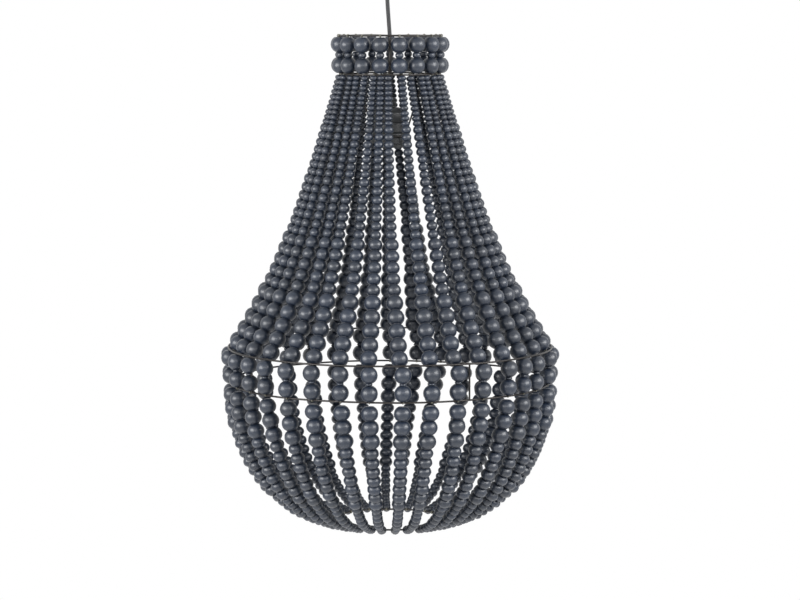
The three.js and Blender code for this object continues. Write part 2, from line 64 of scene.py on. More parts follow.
CROWN_TOP = height_of("crown_top_ring")
CROWN_FOOT = height_of("crown_lower_ring")
BELLY_TOP = height_of("belly_upper_ring")
BELLY_FOOT = height_of("belly_lower_ring")
OPENING = height_of("bottom_ring")
ring_heights = (CROWN_TOP, CROWN_FOOT, BELLY_TOP, BELLY_FOOT, OPENING)
print("ring heights in mm:", [round(z / MM, 1) for z in ring_heights])

# %% [markdown]
# ## Camera
#
# The rings of the shade are circles, and the flatter their ellipses look, the nearer the camera
# is to their height. Here the crown's top ring is almost a line and the bottom ring is open, so
# the camera stands level with the crown, far away with a long lens, and tips down a little.

# %% Camera
CAMERA_DISTANCE = 3.272
CAMERA_ASIDE = 12.2 * MM
CAMERA_OVER_CROWN = 19.2 * MM
CAMERA_TIP = math.radians(5.93)
CAMERA_LENS = 121.5

scene = bpy.context.scene
camera_lens = bpy.data.cameras.new("camera")
camera_lens.lens = CAMERA_LENS
camera = bpy.data.objects.new("camera", camera_lens)
camera.location = (CAMERA_ASIDE, -CAMERA_DISTANCE, CROWN_TOP + CAMERA_OVER_CROWN)
camera.rotation_euler = (math.pi / 2 - CAMERA_TIP, 0, 0)
scene.collection.objects.link(camera)
scene.camera = camera
scene.view_settings.view_transform = "Standard"
print("camera at", [round(c, 3) for c in camera.location])

# %% [markdown]
# ## Nodes and colours
#
# Every finish below is a few nodes on one shader. One helper adds any node, with its settings
# and its links in one line, which keeps each finish and each tree readable. A node that feeds
# another stands for its first output in use, so only the other outputs are named. Paint colours
# are written as the hex values that one reads off a picture, and one function turns them to the
# linear values that light works with.

# %% Helpers for nodes and colours


def linear(hex_colour):
    """An sRGB hex colour as linear red, green, blue and alpha."""
    channels = [int(hex_colour[i:i + 2], 16) / 255 for i in (1, 3, 5)]
    return [c / 12.92 if c <= 0.04045 else ((c + 0.055) / 1.055) ** 2.4 for c in channels] + [1.0]


def feed(tree, node, feeds):
    """Gives inputs, by name or number, a value, an output, or a node for its first output."""
    for name, value in feeds.items():
        if isinstance(name, int):
            target = node.inputs[name]
        else:
            target = next(s for s in node.inputs if s.enabled and s.name == name)
        if isinstance(value, bpy.types.Node):
            value = next(s for s in value.outputs if s.enabled)
        if isinstance(value, bpy.types.NodeSocket):
            tree.links.new(value, target)
        else:
            target.default_value = value


def add_node(tree, kind, feeds=None, **settings):
    """A new node with its settings, its values and its links."""
    node = tree.nodes.new(kind)
    for name, value in settings.items():
        setattr(node, name, value)
    feed(tree, node, feeds or {})
    return node


def new_finish(name):
    """A material, its tree, its shader and the object's own coordinates."""
    material = bpy.data.materials.new(name)
    material.use_nodes = True
    tree = material.node_tree
    shader = next(n for n in tree.nodes if n.type == "BSDF_PRINCIPLED")
    return material, tree, shader, add_node(tree, "ShaderNodeTexCoord").outputs["Object"]


def grain(tree, where, size, detail=3.0, stretch=(1, 1, 1)):
    """Noise whose lumps are about size across, in metres, as a factor from 0 to 1."""
    mapped = add_node(tree, "ShaderNodeMapping", {"Vector": where, "Scale": stretch})
    feeds = {"Vector": mapped, "Scale": 1 / size, "Detail": detail}
    return add_node(tree, "ShaderNodeTexNoise", feeds)


# %% [markdown]
# ## Finishes
#
# The beads are turned wood, dyed and then sprayed with a matt black paint that has a blue cast.
# Paint over wood is never even: each bead took a little more or less of it, the grain telegraphs
# through as fine ridges, and the film is a touch glossier where it lies thick. Each bead carries
# a number, its tone, that the finish reads for the first of these.

# %% Painted wood
BEAD_TONE = "bead_tone"
BLOTCH_SIZE = 5 * MM
BLOTCH_SHARE = 0.35
FIBRE_SIZE = 0.9 * MM
FIBRE_DEPTH = 0.06 * MM


def matt_painted_wood():
    """Matt black paint on turned wood.

    To the eye it is a soft blue-grey bloom that rolls round each ball. The skin of the paint is a
    little smoother than its body, which a thin coat stands for: it draws the small pale glints.
    A trace of sheen is the fine dust that lightens a matt edge seen at a slant."""
    material, tree, shader, where = new_finish("matt_painted_wood")
    tone = add_node(tree, "ShaderNodeAttribute", attribute_name=BEAD_TONE).outputs["Fac"]
    blotch = grain(tree, where, BLOTCH_SIZE)
    fibres = grain(tree, where, FIBRE_SIZE, detail=4, stretch=(1, 1, 3))
    bead_colour = add_node(tree, "ShaderNodeMix", {
        "Factor": tone, "A": linear("#0a1019"), "B": linear("#131c2a"),
    }, data_type="RGBA")
    blotch_colour = add_node(tree, "ShaderNodeMix", {
        "Factor": blotch, "A": linear("#0e1624"), "B": linear("#1c2839"),
    }, data_type="RGBA")
    feed(tree, shader, {
        "Base Color": add_node(tree, "ShaderNodeMix", {
            "Factor": BLOTCH_SHARE, "A": bead_colour, "B": blotch_colour,
        }, data_type="RGBA"),
        "Roughness": add_node(tree, "ShaderNodeMapRange", {
            "Value": blotch, "To Min": 0.38, "To Max": 0.5,
        }),
        "Normal": add_node(tree, "ShaderNodeBump", {"Height": fibres, "Distance": FIBRE_DEPTH}),
        "IOR": 1.5, "Sheen Weight": 0.08, "Sheen Roughness": 0.25,
        "Coat Weight": 0.2, "Coat Roughness": 0.17,
    })
    return material


painted_wood = matt_painted_wood()

# %% [markdown]
# The other finishes differ only in their numbers: a colour that drifts between two near tones, a
# gloss that is even or drifts with it, and a bump. So one function makes them all, and a comment
# at each call says what the real surface is and what it gives the eye.

# %% Thread, wire and the lampholder's finishes


def drifting_finish(name, tones, gloss, lump, depth=0.02 * MM, drift=12 * MM, metallic=0.0):
    """A finish whose colour drifts in patches, with lumps of a size and a depth, in metres.

    gloss is one roughness for all of it, or a pair to drift between."""
    material, tree, shader, where = new_finish(name)
    patches = grain(tree, where, drift)
    feed(tree, shader, {
        "Base Color": add_node(tree, "ShaderNodeMix", {
            "Factor": patches, "A": linear(tones[0]), "B": linear(tones[1]),
        }, data_type="RGBA"),
        "Normal": add_node(tree, "ShaderNodeBump", {
            "Height": grain(tree, where, lump), "Distance": depth,
        }),
        "Metallic": metallic,
        "Roughness": gloss if isinstance(gloss, float) else add_node(tree, "ShaderNodeMapRange", {
            "Value": patches, "To Min": gloss[0], "To Max": gloss[1],
        }),
    })
    return material


# Waxed twist: dull and grey-green, with the ply as tiny light and dark turns
thread_finish = drifting_finish(
    "waxed_thread", ("#4b4a42", "#78766a"), 0.6, 0.5 * MM, depth=0.1 * MM, drift=0.5 * MM
)
# Drawn steel under dark brown lacquer: still a metal, but with no bright glint
# Its lighter warm patches are partly uneven lacquer and partly painted glints
wire_finish = drifting_finish(
    "lacquered_steel_wire", ("#131213", "#34302e"), (0.28, 0.45),
    0.8 * MM, depth=0.05 * MM, drift=9 * MM, metallic=0.55,
)
# Moulded in a spark-eroded tool: its fine grain spreads each highlight into a soft dark grey one
moulded_plastic = drifting_finish(
    "moulded_abs", ("#17191c", "#1f2225"), 0.42, 0.6 * MM, depth=0.03 * MM
)
# Extruded and dusted with talc: almost black, smooth, and too dull for a sharp highlight
pvc_sheath = drifting_finish(
    "pvc_sheath", ("#0a0b0e", "#101115"), 0.62, 4 * MM, depth=0.03 * MM
)
# Baked powder: satin black whose slight orange peel makes the edge of a highlight ragged
powder_coat = drifting_finish(
    "powder_coated_steel", ("#191b1e", "#212427"), 0.5, 1.2 * MM, depth=0.04 * MM
)
# Bright zinc: a cool light grey metal with a soft, slightly cloudy reflection
zinc_plate = drifting_finish(
    "zinc_plated_steel", ("#a9adb0", "#bfc2c4"), 0.3, 3 * MM, metallic=1.0
)
# Rolled sheet: warm yellow metal whose reflections stretch and break over the rolled waves
rolled_brass = drifting_finish(
    "rolled_brass", ("#b08d45", "#caa75c"), 0.28, 5 * MM, metallic=1.0
)
# Pressed and glazed: warm white and wet-looking, with shallow dimples
glazed_block = drifting_finish("glazed_steatite", ("#dcd8cd", "#e9e6dd"), 0.25, 3 * MM)
print("finishes:", sorted(m.name for m in bpy.data.materials if m.use_nodes))

# %% [markdown]
# ## Cord
#
# The lamp hangs, so its cord is taut but for the set that it kept from its coil: it leaves the
# ceiling grip straight down, bows a few millimetres to the left and comes back over the
# lampholder. A curve with a round bevel is the plainest way to make such a cord, and its own
# points are its true length.

# %% Cord
CORD_DIAMETER = 4.8 * MM
# How far the cord stands aside, and its height over the crown's top ring, in millimetres
CORD_ROUTE = [
    (0, 76), (-0.4, 70), (-1.2, 64), (-2.1, 58), (-2.8, 52), (-3.1, 46), (-2.9, 40),
    (-2.5, 33), (-2, 26), (-1.5, 19), (-1, 12), (-0.5, 5), (-0.1, -2), (0.2, -10),
    (0.3, -20), (0.3, -32), (0.2, -45), (0.1, -57), (0, -67),
]


def show(name, data, body, material=None, replaces=()):
    """A piece of the lamp: it rides on a body, has a finish and may stand for measured nodes."""
    piece = bpy.data.objects.new(name, data)
    scene.collection.objects.link(piece)
    if material:
        data.materials.clear()
        data.materials.append(material)
    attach(piece, body)
    if replaces:
        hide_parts(*replaces)
    return piece


cord_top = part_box("cord")[1][2]
cord_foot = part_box("cord")[0][2]
cord_points = [(x * MM, CROWN_TOP + z * MM) for x, z in CORD_ROUTE]
cord_points = [(0, cord_top)] + cord_points + [(0, cord_foot)]
cord_line = bpy.data.curves.new("cord", "CURVE")
cord_line.dimensions = "3D"
cord_line.bevel_depth = CORD_DIAMETER / 2
cord_line.bevel_resolution = 6
cord_line.resolution_u = 8
cord_line.use_fill_caps = True
spline = cord_line.splines.new("BEZIER")
spline.bezier_points.add(len(cord_points) - 1)
for knot, (x, z) in zip(spline.bezier_points, cord_points):
    knot.co = (x, 0, z)
    knot.handle_left_type = knot.handle_right_type = "AUTO"
cord = show("hanging_cord", cord_line, "hanging_cord", pvc_sheath, ["cord"])

# %% [markdown]
# ## Shapes turned and swept
#
# Most parts of the lampholder and the cup are turned: a profile of radius and height goes once
# round the axis. Wires are swept: a small circle follows a line of points. Two functions in mesh
# code make both, closed and with their faces pointing out, so nothing has to be repaired later.

# %% Turned shapes
TURNED_SIDES = 96
MERGE_WITHIN = 0.001 * MM


def mesh_of(name, points, faces, crisp_over=35):
    """A smooth mesh, its doubles merged, its faces outwards, crisp at edges over some degrees."""
    mesh = bpy.data.meshes.new(name)
    mesh.from_pydata([tuple(p) for p in points], [], faces)
    shape = bmesh.new()
    shape.from_mesh(mesh)
    bmesh.ops.remove_doubles(shape, verts=shape.verts, dist=MERGE_WITHIN)
    bmesh.ops.recalc_face_normals(shape, faces=shape.faces)
    for face in shape.faces:
        face.smooth = True
    shape.to_mesh(mesh)
    shape.free()
    mesh.set_sharp_from_angle(angle=math.radians(crisp_over))
    return mesh


def turned(name, profile, sides=TURNED_SIDES, swell=None):
    """A closed shape from a profile of (radius, height) in millimetres that ends where it starts.

    swell(k, angle), if given, is how much wider point k of the profile stands at that angle."""
    count = len(profile)
    points, faces = [], []
    for i in range(sides):
        angle = 2 * math.pi * i / sides
        a, b = i * count, (i + 1) % sides * count
        for k, (radius, height) in enumerate(profile):
            out = (radius + (swell(k, angle) if swell else 0)) * MM
            points.append((out * math.sin(angle), -out * math.cos(angle), height * MM))
            faces.append((a + k, b + k, b + (k + 1) % count, a + (k + 1) % count))
    return mesh_of(name, points, faces)


# %% Swept shapes
# Past this cosine a line runs so near to the way up that its sides need another guide
NEARLY_ALONG = 0.95


def across(points, i, closed):
    """The direction of a line of points at one of them."""
    last = len(points) - 1
    before = points[i - 1] if i > 0 or closed else points[i]
    after = points[(i + 1) % len(points)] if i < last or closed else points[i]
    return (after - before).normalized()


def swept(name, lines, radius, sides=10):
    """Round wires along lines of points; each line is (points, closed)."""
    points, faces = [], []
    for line, closed in lines:
        start = len(points)
        up = Vector((0, 0, 1))
        for i, here in enumerate(line):
            ahead = across(line, i, closed)
            if abs(ahead.dot(up)) > NEARLY_ALONG:
                up = Vector((here[0], here[1], 0)).normalized() if here.xy.length > 0 else Vector((1, 0, 0))
            side = ahead.cross(up).normalized()
            up = side.cross(ahead).normalized()
            for k in range(sides):
                angle = 2 * math.pi * k / sides
                points.append(here + radius * (math.cos(angle) * side + math.sin(angle) * up))
        rings = len(line)
        for i in range(rings if closed else rings - 1):
            a, b = start + i * sides, start + (i + 1) % rings * sides
            for k in range(sides):
                faces.append((a + k, a + (k + 1) % sides, b + (k + 1) % sides, b + k))
        if not closed:
            faces.append(tuple(start + k for k in range(sides)))
            faces.append(tuple(start + (rings - 1) * sides + k for k in reversed(range(sides))))
    return mesh_of(name, points, faces, crisp_over=50)


# %% [markdown]
# ## The strands' plan
#
# Thirty-four strands hang between the rings, and every other one also has a column of large beads
# in the crown. A strand runs out from the crown to the belly in a slow curve, and from the belly
# it turns in under the shade like a bowl. Along it the beads grow from small discs to twenty
# millimetre balls and shrink again. The threads can slide on the wires, so a strand stands a few
# degrees off its even place, bows aside on its way, and no two gaps between strands are alike.

# %% Rings, beads and their sizes
STRANDS = 34
FIRST_STRAND = math.radians(-6.9)
STRAND_PITCH = 2 * math.pi / STRANDS
CROWN_TOP_RADIUS = 62.5 * MM
CROWN_RADIUS = 61 * MM
BELLY_RADIUS = 197 * MM
BELLY_FOOT_RADIUS = 194.5 * MM
OPENING_RADIUS = 70 * MM
# How far inside the rings the strands' middle lines start and end, and end above the belly
CROWN_INSET = 1 * MM
BELLY_INSET = 6.5 * MM
BALL_REACH = 0.8 * MM
# The crown hangs turned a little against the belly
CROWN_TWIST = math.radians(-3.7)
WIRE_RADIUS = 1.1 * MM
THREAD_RADIUS = 0.6 * MM
# From a ring's middle to the nearest bead, over the turns of thread; the bowl's hang lower
BEAD_TO_RING = WIRE_RADIUS + 0.5 * MM
BOWL_GAP = WIRE_RADIUS + 3.4 * MM
# The outward curve over the belly is mostly even, and steep at its end
FLARE_SHARES = (0.74, 0.04, 0.22)
# The bowl under it is almost a quarter of an ellipse
BOWL_TURN = 0.95 * math.pi / 2
# Width and length of a bead, and how many beads of a width and a length, in millimetres
BALL = (20.5, 17.8)
UPPER_RUNS = [(10, 10.2, 6.2), (7, 11.5, 9.2), (7, 13.0, 10.7), (5, 16.8, 14.0), (5, *BALL)]
LOWER_RUNS = [(3, 20.5, 17.0), (7, 17.0, 12.4), (5, 12.8, 9.4), (5, 10.6, 8.6)]
print("strand pitch at the belly in mm:", round(BELLY_RADIUS * STRAND_PITCH / MM, 1))

# %% How the strands wander
# Degrees that a strand stands off its even place: in the crown, by how much it bows on its way
# down, where it ends above the belly, in the belly, by how much it bows under it, and at its foot
SWAYS = {
    28: (0, 2, 1, 1, 0.5, 0), 29: (0, 2.5, 0.1, 2, 2, 0), 30: (4.7, 0.3, 0.6, 1, 4, 0),
    31: (3.4, 0.6, 0.9, 0.8, 2.3, 0), 32: (3, -1.1, 0.1, 0.7, 1.6, 0),
    33: (3.1, 0.5, -0.4, 0.6, 1.7, 0.5), 0: (0.8, 0.6, -0.4, 0, 0.8, 0),
    1: (-1.7, -0.3, 0.1, 0.9, -0.6, 1), 2: (3, 0.9, 0, 0.2, -2, 1.5),
    3: (2.3, 2.2, -1.7, -0.8, -1.2, 2.5), 4: (5.5, 1.2, -2.1, -1.6, -2.5, 1),
    5: (1.8, 2, -1.3, -0.6, -3.7, 0), 6: (4.1, 2.3, -2, -2.8, -2.5, 0),
    7: (4, 1.5, -1.5, -4.4, -1, 0), 8: (3.3, 0, 2, 0, 0, 0),
    13: (6, -3, -1, 2.3, 1.8, 1), 14: (6, -3.5, -1, 0.8, 1.2, 0), 15: (4.5, -4, -1.5, -1.5, 1.2, 0.3),
    16: (9.1, 0, -1.1, -1.9, 3.6, 0.5), 17: (9.8, -4.5, -1.9, -3.1, 1.6, 1),
    18: (6.4, -1.8, -2.6, -3.5, 0, 0), 19: (5.9, -1.9, -3.3, -2.8, 0, -4.5),
    20: (7.2, -1.5, -3.2, -3.2, 0, -2.5), 21: (7.8, -3.2, -2.5, -3.7, -1.8, -2),
    22: (7, -3.7, -1.6, -3.7, -1.5, -1.5), 23: (6, -3.3, -0.6, -1.7, 0, -1),
}
# The strands at the sides hide one another, so they get a random half degree at most
SIDE_SWAY = 0.5
dice = random.Random(34)
swayed = [
    SWAYS.get(i) or [dice.uniform(-SIDE_SWAY, SIDE_SWAY) for _ in range(6)] for i in range(STRANDS)
]
crown_sway, upper_bow, upper_end_sway, belly_sway, lower_bow, foot_sway = (
    [math.radians(sways[k]) + (CROWN_TWIST if k == 0 else 0) for sways in swayed] for k in range(6)
)
column_sway = [
    CROWN_TWIST + math.radians(dice.uniform(-SIDE_SWAY, SIDE_SWAY)) for _ in range(STRANDS)
]
no_bow = [0.0] * STRANDS
print("strands with a wander of their own:", len(SWAYS), "of", STRANDS)

# %% The lines that strands follow


def upper_line(share):
    """A point of the strands' outward curve, from the crown down to the belly."""
    even, growing, steep = FLARE_SHARES
    flare = even * share + growing * share ** 2 + steep * share ** 4
    start, end = CROWN_RADIUS - CROWN_INSET, BELLY_RADIUS - BELLY_INSET
    drop = BELLY_TOP - BALL_REACH - CROWN_FOOT
    return Vector((0, -start - (end - start) * flare, CROWN_FOOT + drop * share))


def lower_line(share):
    """A point of the bowl's curve, from the belly down to the opening."""
    level = math.cos(BOWL_TURN)
    inward = (math.cos(BOWL_TURN * share) - level) / (1 - level)
    down = math.sin(BOWL_TURN * share) / math.sin(BOWL_TURN)
    radius = OPENING_RADIUS + (BELLY_FOOT_RADIUS - OPENING_RADIUS) * inward
    return Vector((0, -radius, BELLY_FOOT + (OPENING - BELLY_FOOT) * down))


def straight_line(top_radius, foot_radius, top, foot):
    start, end = Vector((0, -top_radius, top)), Vector((0, -foot_radius, foot))
    return lambda share: start.lerp(end, share)


# The line of each path, the steps that draw it, and the sways at its start, its end and between
PATHS = {
    "upper": (upper_line, 90, crown_sway, upper_end_sway, upper_bow),
    "lower": (lower_line, 90, belly_sway, foot_sway, lower_bow),
    "band": (
        straight_line(BELLY_RADIUS, BELLY_FOOT_RADIUS, BELLY_TOP, BELLY_FOOT), 4,
        belly_sway, belly_sway, no_bow,
    ),
    "crown": (
        straight_line(CROWN_TOP_RADIUS, CROWN_RADIUS, CROWN_TOP, CROWN_FOOT), 4,
        column_sway, column_sway, no_bow,
    ),
}

# %% Guides and feet
guides, lengths = {}, {}
for path, (line, steps, *_) in PATHS.items():
    points = [line(i / steps) for i in range(steps + 1)]
    curve = bpy.data.curves.new(path + "_guide", "CURVE")
    curve.dimensions = "3D"
    spline = curve.splines.new("POLY")
    spline.points.add(steps)
    for knot, point in zip(spline.points, points):
        knot.co = (*point, 1)
    guides[path] = bpy.data.objects.new(path + "_guide", curve)
    scene.collection.objects.link(guides[path])
    lengths[path] = sum(math.dist(a, b) for a, b in zip(points, points[1:]))
    print(path, "path in mm:", round(lengths[path] / MM, 1))


def strand_feet(path, chosen):
    """A mesh with one point for each strand, which carries where that strand stands and sways."""
    sway_from, sway_to, bow = PATHS[path][2:]
    mesh = bpy.data.meshes.new(path + "_feet")
    mesh.from_pydata([(0, 0, 0)] * len(chosen), [], [])
    for attribute, values in {
        "turn": [FIRST_STRAND + i * STRAND_PITCH for i in chosen],
        "sway_from": [sway_from[i] for i in chosen],
        "sway_to": [sway_to[i] for i in chosen],
        "bow": [bow[i] for i in chosen],
    }.items():
        layer = mesh.attributes.new(attribute, "FLOAT", "POINT")
        layer.data.foreach_set("value", values)
    layer = mesh.attributes.new("strand", "INT", "POINT")
    layer.data.foreach_set("value", chosen)
    return mesh


# %% [markdown]
# ## Stringing the beads with Geometry Nodes
#
# One tree strings one run of equal beads on all the strands at once. It copies each strand's
# point once for every bead, finds the bead's place and direction on the guide line, swings it
# round the lamp's axis to its strand, and puts a bead there: a ball with its ends cut flat by the
# drill. Beads on a thread never sit quite true, so each is tipped and turned a little. Two
# thousand beads need few faces each, and smooth shading does the rest.

# %% Trees with named inputs


def new_tree(name, sizes):
    """A Geometry Nodes tree with named inputs, its input sockets and their identifiers."""
    tree = bpy.data.node_groups.new(name, "GeometryNodeTree")
    tree.interface.new_socket("Geometry", in_out="INPUT", socket_type="NodeSocketGeometry")
    for size, kind in sizes.items():
        tree.interface.new_socket(size, in_out="INPUT", socket_type="NodeSocket" + kind)
    tree.interface.new_socket("Geometry", in_out="OUTPUT", socket_type="NodeSocketGeometry")
    identifiers = {
        item.name: item.identifier for item in tree.interface.items_tree if item.in_out == "INPUT"
    }
    return tree, add_node(tree, "NodeGroupInput").outputs, identifiers


def end_tree(tree, geometry, finish):
    """Makes the instances real, smooth and finished, and gives them to the tree's output."""
    solid = add_node(tree, "GeometryNodeRealizeInstances", {"Geometry": geometry})
    smooth = add_node(tree, "GeometryNodeSetShadeSmooth", {"Geometry": solid})
    feeds = {"Geometry": smooth, "Material": finish}
    done = add_node(tree, "GeometryNodeSetMaterial", feeds)
    add_node(tree, "NodeGroupOutput", {"Geometry": done})


# %% Points on the strands, and things a little askew


def place_on_strands(tree, points, guide, along):
    """Points moved to where they lie along the guide line, once it is swung to their strands,
    and which way the thread runs there."""
    own = {
        name: add_node(tree, "GeometryNodeInputNamedAttribute", {"Name": name})
        for name in ("turn", "sway_from", "sway_to", "bow")
    }
    line = add_node(tree, "GeometryNodeObjectInfo", {"Object": guide}).outputs["Geometry"]
    whole = add_node(tree, "GeometryNodeCurveLength", {"Curve": line})
    here = add_node(tree, "GeometryNodeSampleCurve", {"Curves": line, "Length": along}, mode="LENGTH")
    share = add_node(tree, "ShaderNodeMath", {0: along, 1: whole}, operation="DIVIDE")
    sway = add_node(tree, "ShaderNodeMapRange", {
        "Value": share, "To Min": own["sway_from"], "To Max": own["sway_to"],
    })
    # 4 s (1 - s) is 0 at both ends of the line and 1 in its middle
    left = add_node(tree, "ShaderNodeMath", {0: 1.0, 1: share}, operation="SUBTRACT")
    half_way = add_node(tree, "ShaderNodeMath", {0: share, 1: left}, operation="MULTIPLY")
    middleness = add_node(tree, "ShaderNodeMath", {0: half_way, 1: 4.0}, operation="MULTIPLY")
    feeds = {0: own["bow"], 1: middleness, 2: sway}
    bowed = add_node(tree, "ShaderNodeMath", feeds, operation="MULTIPLY_ADD")
    angle = add_node(tree, "ShaderNodeMath", {0: own["turn"], 1: bowed}, operation="ADD")
    place, thread_way = [
        add_node(tree, "ShaderNodeVectorRotate", {
            "Vector": here.outputs[part], "Angle": angle,
        }, rotation_type="Z_AXIS")
        for part in ("Position", "Tangent")
    ]
    moved = add_node(tree, "GeometryNodeSetPosition", {"Geometry": points, "Position": place})
    return moved, thread_way


def random_push(tree, reach, seed):
    """A random vector whose parts lie between -reach and reach."""
    feeds = {0: (-1, -1, -1), 1: (1, 1, 1), "Seed": seed}
    push = add_node(tree, "FunctionNodeRandomValue", feeds, data_type="FLOAT_VECTOR")
    return add_node(tree, "ShaderNodeVectorMath", {0: push, "Scale": reach}, operation="SCALE")


def tipped(tree, rotation, reach, seed):
    """A rotation that is tipped at random by up to reach, in radians, about each axis."""
    feeds = {0: rotation, 1: random_push(tree, reach, seed)}
    return add_node(tree, "FunctionNodeRotateRotation", feeds, rotation_space="LOCAL")


# %% One drilled bead
BEAD_SIDES = 12
BEAD_ROWS = 6


def drilled_bead(tree, neck_share):
    """A ball one unit wide and one long, cut flat where its width falls to the neck's share.

    It is a drum whose rows move to latitudes from one flat end to the other."""
    drum = add_node(tree, "GeometryNodeMeshCylinder", {
        "Vertices": BEAD_SIDES, "Side Segments": BEAD_ROWS, "Radius": 0.5, "Depth": 1.0,
    })
    place = add_node(tree, "GeometryNodeInputPosition")
    part = add_node(tree, "ShaderNodeSeparateXYZ", {"Vector": place}).outputs
    row = add_node(tree, "ShaderNodeMath", {0: part["Z"], 1: 2.0}, operation="MULTIPLY")
    steepest = add_node(tree, "ShaderNodeMath", {0: neck_share}, operation="ARCCOSINE")
    latitude = add_node(tree, "ShaderNodeMath", {0: row, 1: steepest}, operation="MULTIPLY")
    narrowed = add_node(tree, "ShaderNodeMath", {0: latitude}, operation="COSINE")
    rise = add_node(tree, "ShaderNodeMath", {0: latitude}, operation="SINE")
    full_rise = add_node(tree, "ShaderNodeMath", {0: steepest}, operation="SINE")
    half_rise = add_node(tree, "ShaderNodeMath", {0: rise, 1: 0.5}, operation="MULTIPLY")
    shaped = add_node(tree, "ShaderNodeCombineXYZ", {
        "X": add_node(tree, "ShaderNodeMath", {0: part["X"], 1: narrowed}, operation="MULTIPLY"),
        "Y": add_node(tree, "ShaderNodeMath", {0: part["Y"], 1: narrowed}, operation="MULTIPLY"),
        "Z": add_node(tree, "ShaderNodeMath", {0: half_rise, 1: full_rise}, operation="DIVIDE"),
    })
    return add_node(tree, "GeometryNodeSetPosition", {"Geometry": drum, "Position": shaped})


# %% The tree that strings a run of beads


def bead_stringing_tree():
    tree, size, identifiers = new_tree("string_a_run_of_beads", {
        "Guide": "Object", "Starts At": "Float", "Bead Width": "Float", "Bead Length": "Float",
        "Beads": "Int", "Neck Share": "Float", "Tilt": "Float", "Play": "Float", "Seed": "Int",
        "Finish": "Material",
    })
    copies = add_node(tree, "GeometryNodeDuplicateElements", {
        "Geometry": size["Geometry"], "Amount": size["Beads"],
    }, domain="POINT").outputs
    # The middle of each bead is half a bead further than the beads before it
    feeds = {0: copies["Duplicate Index"], 1: 0.5}
    middle = add_node(tree, "ShaderNodeMath", feeds, operation="ADD")
    feeds = {0: middle, 1: size["Bead Length"], 2: size["Starts At"]}
    along = add_node(tree, "ShaderNodeMath", feeds, operation="MULTIPLY_ADD")
    points, thread_way = place_on_strands(tree, copies["Geometry"], size["Guide"], along)
    nudged = add_node(tree, "GeometryNodeSetPosition", {
        "Geometry": points, "Offset": random_push(tree, size["Play"], size["Seed"]),
    })
    strung = add_node(tree, "FunctionNodeAlignRotationToVector", {"Vector": thread_way}, axis="Z")
    tilt_seed = add_node(tree, "ShaderNodeMath", {0: size["Seed"], 1: 1}, operation="ADD")
    beads = add_node(tree, "GeometryNodeInstanceOnPoints", {
        "Points": nudged, "Instance": drilled_bead(tree, size["Neck Share"]),
        "Rotation": tipped(tree, strung, size["Tilt"], tilt_seed),
        "Scale": add_node(tree, "ShaderNodeCombineXYZ", {
            "X": size["Bead Width"], "Y": size["Bead Width"], "Z": size["Bead Length"],
        }),
    })
    tone_seed = add_node(tree, "ShaderNodeMath", {0: size["Seed"], 1: 2}, operation="ADD")
    toned = add_node(tree, "GeometryNodeStoreNamedAttribute", {
        "Geometry": beads, "Name": BEAD_TONE,
        "Value": add_node(tree, "FunctionNodeRandomValue", {"Seed": tone_seed}),
    }, domain="INSTANCE")
    end_tree(tree, toned, size["Finish"])
    return tree, identifiers


bead_tree = bead_stringing_tree()
print("bead tree:", len(bead_tree[0].nodes), "nodes, inputs:", list(bead_tree[1]))

# %% [markdown]
# The result of a tree is turned into a plain mesh at once, and the object that carried the
# modifier is thrown away. Runs that belong together are then joined into one mesh, so that a
# piece of the lamp is one thing on one body.

# %% Running a tree and joining its results


def grow(path, chosen, tree_and_inputs, values):
    """The mesh that a tree makes along a path, for the chosen strands."""
    tree, identifiers = tree_and_inputs
    feet = strand_feet(path, chosen)
    carrier = bpy.data.objects.new("carrier", feet)
    scene.collection.objects.link(carrier)
    modifier = carrier.modifiers.new("grow", "NODES")
    modifier.node_group = tree
    modifier[identifiers["Guide"]] = guides[path]
    for name, value in values.items():
        modifier[identifiers[name]] = value
    evaluated = carrier.evaluated_get(bpy.context.evaluated_depsgraph_get())
    grown = bpy.data.meshes.new_from_object(evaluated)
    bpy.data.objects.remove(carrier)
    bpy.data.meshes.remove(feet)
    return grown


def joined(name, meshes):
    """Several meshes as one, with their finishes and bead tones kept."""
    parts = []
    for mesh in meshes:
        part = bpy.data.objects.new("part", mesh)
        scene.collection.objects.link(part)
        parts.append(part)
    with bpy.context.temp_override(
        active_object=parts[0], selected_objects=parts, selected_editable_objects=parts
    ):
        bpy.ops.object.join()
    whole = parts[0].data
    whole.name = name
    bpy.data.objects.remove(parts[0])
    return whole


# %% [markdown]
# ## Beads
#
# The front and the back half of the shade are a piece each. In every half the runs follow one
# another down the strand: five sizes from the crown to the belly, a pair of balls with a small
# spacer between the belly rings, and four sizes under the belly. The crown has such pairs on
# every other strand, with a larger spacer.

# %% Runs, paths and pairs of beads
# The flat end round a bead's hole, as a share of its width: small beads are flatter
BALL_NECK = 0.5
SMALL_NECK = 0.62
SMALL_UNDER = 10
BEAD_TILT = 0.05
BEAD_PLAY = 0.25 * MM
BAND_SPACER = 8.5
CROWN_SPACER = 10.0


def string_run(path, chosen, start, run, seed, neck_share=BALL_NECK):
    """One run: how many beads, their width in millimetres and their length in metres."""
    count, width, length = run
    return grow(path, chosen, bead_tree, {
        "Starts At": start, "Bead Width": width * MM, "Bead Length": length, "Beads": count,
        "Neck Share": neck_share, "Tilt": BEAD_TILT, "Play": BEAD_PLAY, "Seed": seed,
        "Finish": painted_wood,
    })


